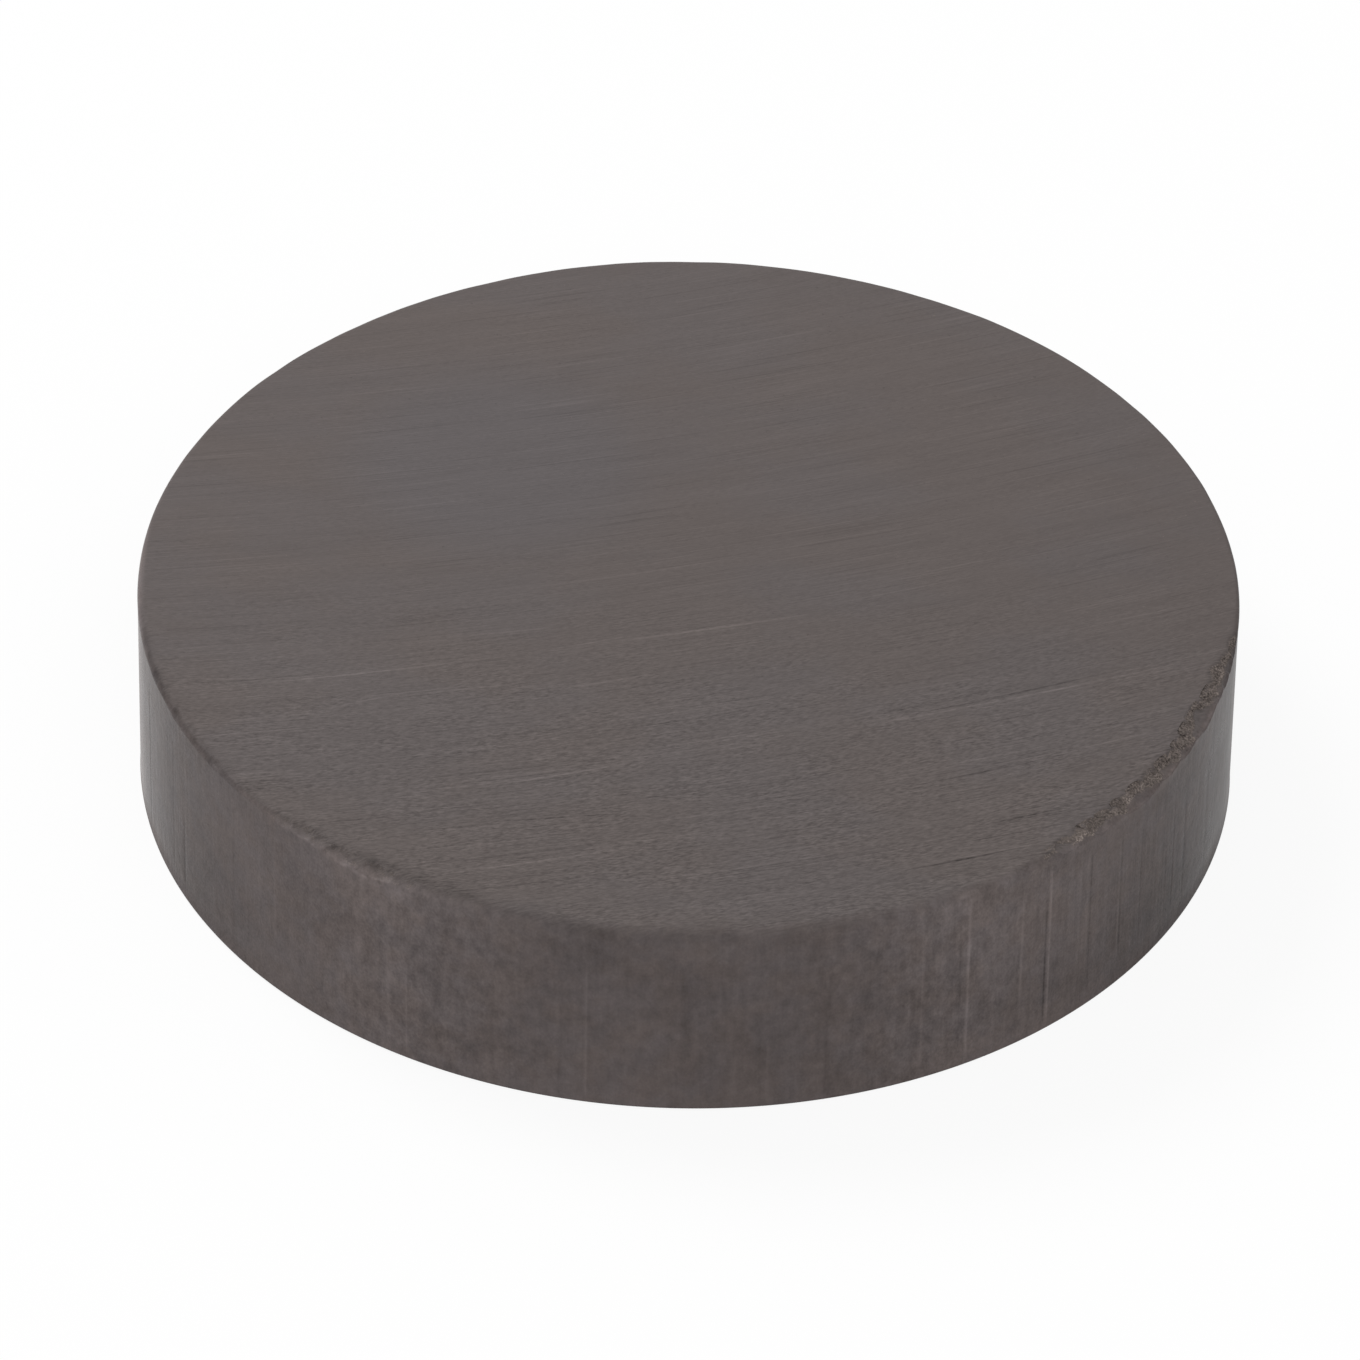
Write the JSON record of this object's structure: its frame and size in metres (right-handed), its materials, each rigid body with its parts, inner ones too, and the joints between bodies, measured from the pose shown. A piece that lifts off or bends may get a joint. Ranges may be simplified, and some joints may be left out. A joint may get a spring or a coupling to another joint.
{
  "type": "disc magnet",
  "caption": "Flat round magnet of sintered ferrite that clings to steel by either ground face.",
  "frame": {"origin": "centre of the lower ground face", "axes": "+Z along the disc's axis, from the lower ground face to the upper one; the chipped stretch of the upper rim faces -Y"},
  "size_m": [0.025, 0.025, 0.005],
  "materials": {
    "ferrite": "satin"
  },
  "bodies": {
    "root": {"magnet_disc": "ferrite"}
  },
  "joints": []
}
